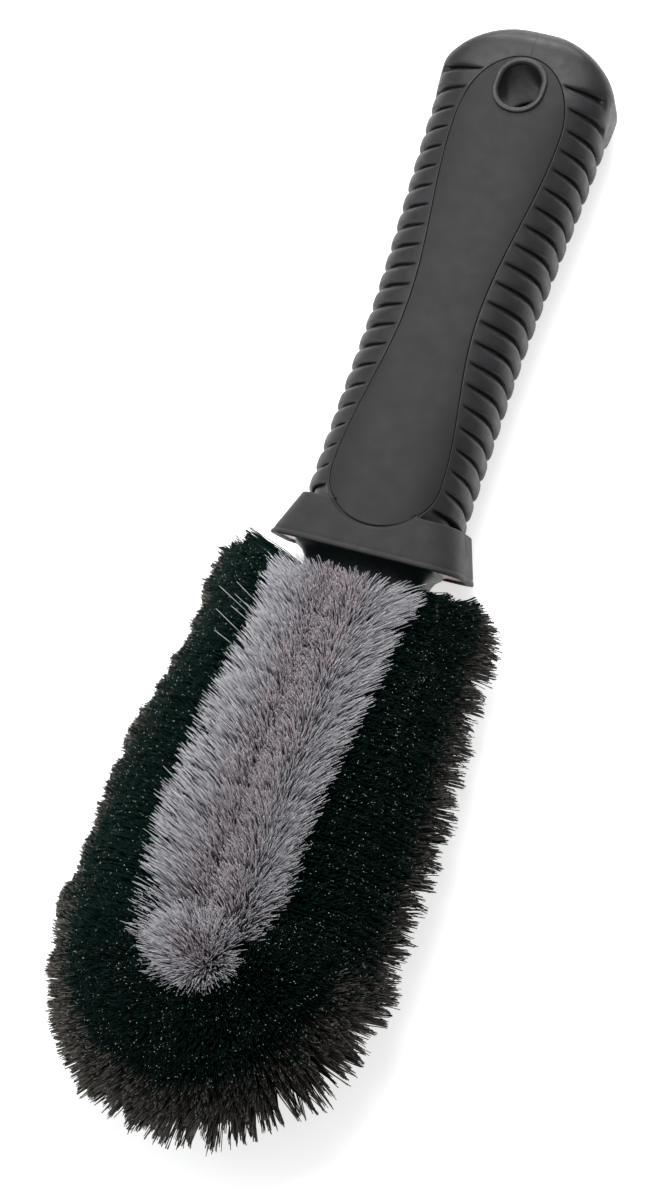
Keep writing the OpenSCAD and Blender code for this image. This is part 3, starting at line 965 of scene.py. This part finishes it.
def soft_reach(y, side):
    """How far the grey tips reach from the middle line."""
    if side == LEFT:
        return 14.9 + 2.9 * ease((-y - 22) / 46) - 2.3 * ease((-y - 77) / 18)
    return (15.2 + 1.6 * ease((y + 66) / 30) + 3.2 * np.exp((y + 12) / 9)
            - 2.4 * ease((-y - 85) / 9))


def soft_mesh(name, node, starts, ends, outs, lean):
    """Grey filaments that rise from their hole and bend outwards. outs is how far out each one
    ends, 0 to 1, and lean how far its bent part runs along the head."""
    count = len(starts)
    ctrl = np.empty((count, 3))
    ctrl[:, 0] = starts[:, 0] + (ends[:, 0] - starts[:, 0]) * .36
    ctrl[:, 1] = ends[:, 1] - lean
    ctrl[:, 2] = starts[:, 2] + (ends[:, 2] - starts[:, 2]) * (.60 + .26 * outs)
    ctrl = ctrl + rng.normal(0, .6, (count, 3)) * [1, 1.3, .7]
    paths = curve(starts, ctrl, ends, [0, .3, .55, .72, .87, 1])
    thick = rng.uniform(.085, .125, count)
    radii = thick[:, None] * np.array([1, 1, 1, 1, .93, .5])[None, :]
    pick = rng.uniform(0, 1, count)
    deep = np.full(count, SOFT_SHADOW)
    middle = outs + rng.normal(0, .14, count) < .42
    tone = np.where(middle, np.where(pick < .6, SOFT_MAUVE, SOFT_GREY),
                    np.where(pick < .5, SOFT_GREY, SOFT_BLUE))
    bright = rng.uniform(0, 1, count) < .05
    tones = np.stack([deep, deep, tone, tone, np.where(bright, SOFT_PALE, tone)], axis=1)
    caps = np.where(pick < .3, SOFT_PALE, tone)
    return tube_mesh(name, node, paths, radii, tones, caps, SOFT_TONES)


# Height of the grey strip's crown, and the middle of its round end
CROWN, STAR_X, STAR_Y = 41.2, -1.8, -98.3


def soft_roots(x, y, count):
    p, q = disc(count)
    return np.stack([x + ROOT_R * p, y + ROOT_R * q, np.full(count, SOFT_ROOT_Z)], axis=1)


def soft_row(name, node, ys, count, side):
    """Grey tufts of one side: a V that stands in the middle and leans out over the black. They
    make two pieces, each of half the tufts."""
    count = count
    starts, ends, outs = [], [], []
    for y in ys:
        starts.append(soft_roots(side * SOFT_ROOT_X, y, count))
        u = rng.uniform(0, 1, count)
        # Half of the filaments end within .4 of the way out
        out = np.where(u < .5, u * .8, .4 + (u - .5) * 1.2)
        # The left row's last tuft spreads on towards the end tuft
        low = -13.5 if side == LEFT and y == ys[-1] else -7.5
        s = y + 1.5 * out + rng.uniform(low, 7.5, count)
        s = np.where(out > .6, clumped(s, 1.6, .14, .3)[0], s)
        limit = -11.2 + rng.normal(0, .7, count)
        s = np.where(s > limit, 2 * limit - s, s)
        ragged = rng.normal(0, .6, count) + .9 * (hashed(np.floor(s / 1.6)) - .5) * (out > .6)
        end_x = side * (-1.2 + (soft_reach(s, side) + 1.2) * out) + sweep(s) * .8 + ragged
        valley = 1.2 * np.exp(-(out / .2) ** 2)
        end_z = CROWN - 4.6 * shoulder(s) - valley - 1.6 * out ** 3 + rng.normal(0, .38, count)
        ends.append(np.stack([end_x, s, end_z], axis=1))
        outs.append(out)
    half = len(ys) // 2
    for part, a, b in (("a", 0, half), ("b", half, len(ys))):
        end = np.concatenate(ends[a:b])
        out = np.concatenate(outs[a:b])
        lean = (4.0 if side == LEFT else 5.2) * out * np.clip((end[:, 1] + 100) / 30, 0, 1)
        soft_mesh(name + "_" + part, node, np.concatenate(starts[a:b]), end, out, lean)


def soft_end(name, node, count):
    """The round grey tuft that closes the strip: a star that opens to all sides."""
    count = count
    starts = soft_roots(0.0, NOSE_Y - 2.5, count)
    a = rng.uniform(0, 2 * math.pi, count)
    r = rng.uniform(0, 1, count) ** .6
    wide = np.where(np.cos(a) < 0, 11.6, 11.4)
    end_x = STAR_X + wide * r * np.cos(a) + rng.normal(0, .5, count)
    end_y = STAR_Y + 10.0 * r * np.sin(a) + rng.normal(0, .5, count)
    end_z = CROWN - 4.0 * np.exp(-(r / .25) ** 2) - 1.6 * r ** 3 + rng.normal(0, .6, count)
    ends = np.stack([end_x, end_y, end_z], axis=1)
    soft_mesh(name, node, starts, ends, r, 5.0 * r * np.sin(a))


def strays(name, node):
    """A few long pale filaments that stand out over the black at the left shoulder."""
    count = 6
    y = np.linspace(-24, -34, count) + rng.normal(0, 1.2, count)
    starts = np.stack([np.full(count, -5.0), y - 2.5, np.full(count, 24.0)], axis=1)
    ends = np.stack([-17.5 - rng.uniform(0, 4.0, count), y + rng.uniform(1.0, 5.5, count),
                     37.0 + rng.uniform(0, 2.5, count)], axis=1)
    ctrl = starts + (ends - starts) * [.35, .4, .6]
    paths = curve(starts, ctrl, ends, np.linspace(0, 1, 5))
    radii = np.tile(.105 * np.array([1, 1, 1, .9, .5]), (count, 1))
    tones = np.tile([SOFT_GREY, SOFT_GREY, SOFT_BLUE, SOFT_BLUE], (count, 1))
    tube_mesh(name, node, paths, radii, tones, np.full(count, SOFT_PALE), SOFT_TONES)


# Each ring of stiff tufts: how far its holes stand in from the block's edge, their height, the
# bands of distances its tips fill on a flank and round the nose, and the filaments per tuft there
RIM = (0, RIM_ROOT_Z, (-1.2, 4.2), (-1.2, 4.2), 420, 620)
OUTER = (3, FACE_ROOT_Z, (2.6, 11.5), (2.6, 11.5), 980, 1700)
INNER = (8, FACE_ROOT_Z, (9.5, 23.5), (9.5, 25), 940, 2400)


def build_bristles():
    """The rows of both flanks, then the nose, the end tuft and the strays. Every row draws from
    rng, so their order is part of the look."""
    ys, mid_ys = row_ys(False), row_ys(True)
    for side, word in ((LEFT, "left"), (RIGHT, "right")):
        for ring, ring_name, places, share in ((RIM, "rim", ys, 1), (OUTER, "outer", mid_ys, 1.1),
                                               (INNER, "inner", ys, 1)):
            root_in, z, band, _, count, _ = ring
            roots = [(side * (block_hw(y) - root_in), y, z) for y in places]
            stiff_row(ring_name + "_bristles_" + word, ring_name + "_tufts_" + word, roots, places,
                      TUFT_PITCH * share, count, band, side, ring is RIM)
        soft_row("soft_bristles_" + word, "soft_tufts_" + word, mid_ys, 720, side)
    for ring, ring_name, tufts in ((RIM, "rim", 9), (OUTER, "outer", 6), (INNER, "inner", 4)):
        root_in, z, _, band, _, count = ring
        angles = [math.radians(180 * k / (tufts + 1)) for k in range(1, tufts + 1)]
        roots = [((NOSE_HW - root_in) * math.cos(a), NOSE_Y - (NOSE_L - root_in) * math.sin(a), z)
                 for a in angles]
        places = [math.radians(180 * (k + .5) / tufts) for k in range(tufts)]
        stiff_row(ring_name + "_bristles_nose", ring_name + "_tufts_nose", roots, places,
                  math.radians(180 / tufts * 1.1), count, band, NOSE, ring is RIM)
    soft_end("soft_bristles_end", "soft_end_tuft", 1500)
    strays("soft_strays", "soft_tufts_left")


# ---------------------------------------------------------------- put it together

build_sleeve()
build_panel(True)
build_panel(False)
build_eyelet()
build_collar()
build_core()
build_block()
build_bristles()
for node in ("anchors_soft", "anchors_inner", "anchors_outer", "anchors_rim"):
    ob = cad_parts[node]
    ob.data.materials.clear()
    ob.data.materials.append(WIRE)

# ---------------------------------------------------------------- floor, light and camera

FLOOR_REACH, FLOOR_Z = 3, -0.0004
floor_mesh = bpy.data.meshes.new("backdrop")
floor_mesh.from_pydata([(x * FLOOR_REACH, y * FLOOR_REACH, FLOOR_Z)
                        for x, y in ((-1, -1), (1, -1), (1, 1), (-1, 1))], [], [(0, 1, 2, 3)])
floor_mesh.materials.append(FLOOR)
floor = bpy.data.objects.new("backdrop", floor_mesh)
bpy.context.scene.collection.objects.link(floor)
floor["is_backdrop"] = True

world = bpy.data.worlds.new("studio")
bpy.context.scene.world = world
world.use_nodes = True
world.node_tree.nodes["Background"].inputs["Color"].default_value = (0.98, 0.99, 1.0, 1)
world.node_tree.nodes["Background"].inputs["Strength"].default_value = 0.42


def softbox(name, place, aim, size, power, colour=(1, 1, 1)):
    """A rectangular studio light, placed and aimed in metres."""
    lamp = bpy.data.lights.new(name, "AREA")
    lamp.shape = "RECTANGLE"
    lamp.size, lamp.size_y = size
    lamp.energy = power
    lamp.color = colour
    ob = bpy.data.objects.new(name, lamp)
    ob.location = place
    ob.rotation_euler = (Vector(aim) - Vector(place)).to_track_quat("-Z", "Y").to_euler()
    bpy.context.scene.collection.objects.link(ob)


softbox("overhead_box", (-0.22, 0.42, 0.85), (0, 0.02, 0), (0.6, 0.5), 6.5)
softbox("back_box", (-0.25, 1.05, 0.42), (0, 0.08, 0.01), (0.6, 0.35), 7.0)
softbox("left_fill", (-0.9, -0.1, 0.5), (0, -0.03, 0), (0.5, 0.8), 3.0, (0.96, 0.98, 1.0))

# The camera looks along -view_dir at a point near the head's middle, from far away
VIEW_X, VIEW_Y, ROLL_DEG = 0.243, -0.316, 19.01
AIM, AWAY = Vector((-3.9, -11.4, 15)), 900
view_dir = Vector((VIEW_X, VIEW_Y, math.sqrt(1 - VIEW_X ** 2 - VIEW_Y ** 2)))
up_flat = (Vector((0, 1, 0)) - view_dir.y * view_dir).normalized()
right_flat = up_flat.cross(view_dir)
roll = math.radians(ROLL_DEG)
cam_right = math.cos(roll) * right_flat + math.sin(roll) * up_flat
cam_up = -math.sin(roll) * right_flat + math.cos(roll) * up_flat
spot = (AIM + AWAY * view_dir) * MM
camera = bpy.data.objects.new("camera", bpy.data.cameras.new("camera"))
bpy.context.scene.collection.objects.link(camera)
camera.matrix_world = Matrix(((cam_right.x, cam_up.x, view_dir.x, spot.x),
                              (cam_right.y, cam_up.y, view_dir.y, spot.y),
                              (cam_right.z, cam_up.z, view_dir.z, spot.z), (0, 0, 0, 1)))
camera.data.sensor_fit = "HORIZONTAL"
camera.data.sensor_width = 36
camera.data.lens = 230.3
camera.data.clip_end = 10
bpy.context.scene.camera = camera
bpy.context.scene.view_settings.view_transform = "Standard"

{"frame": frame_bounds, "visual": plain(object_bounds())}
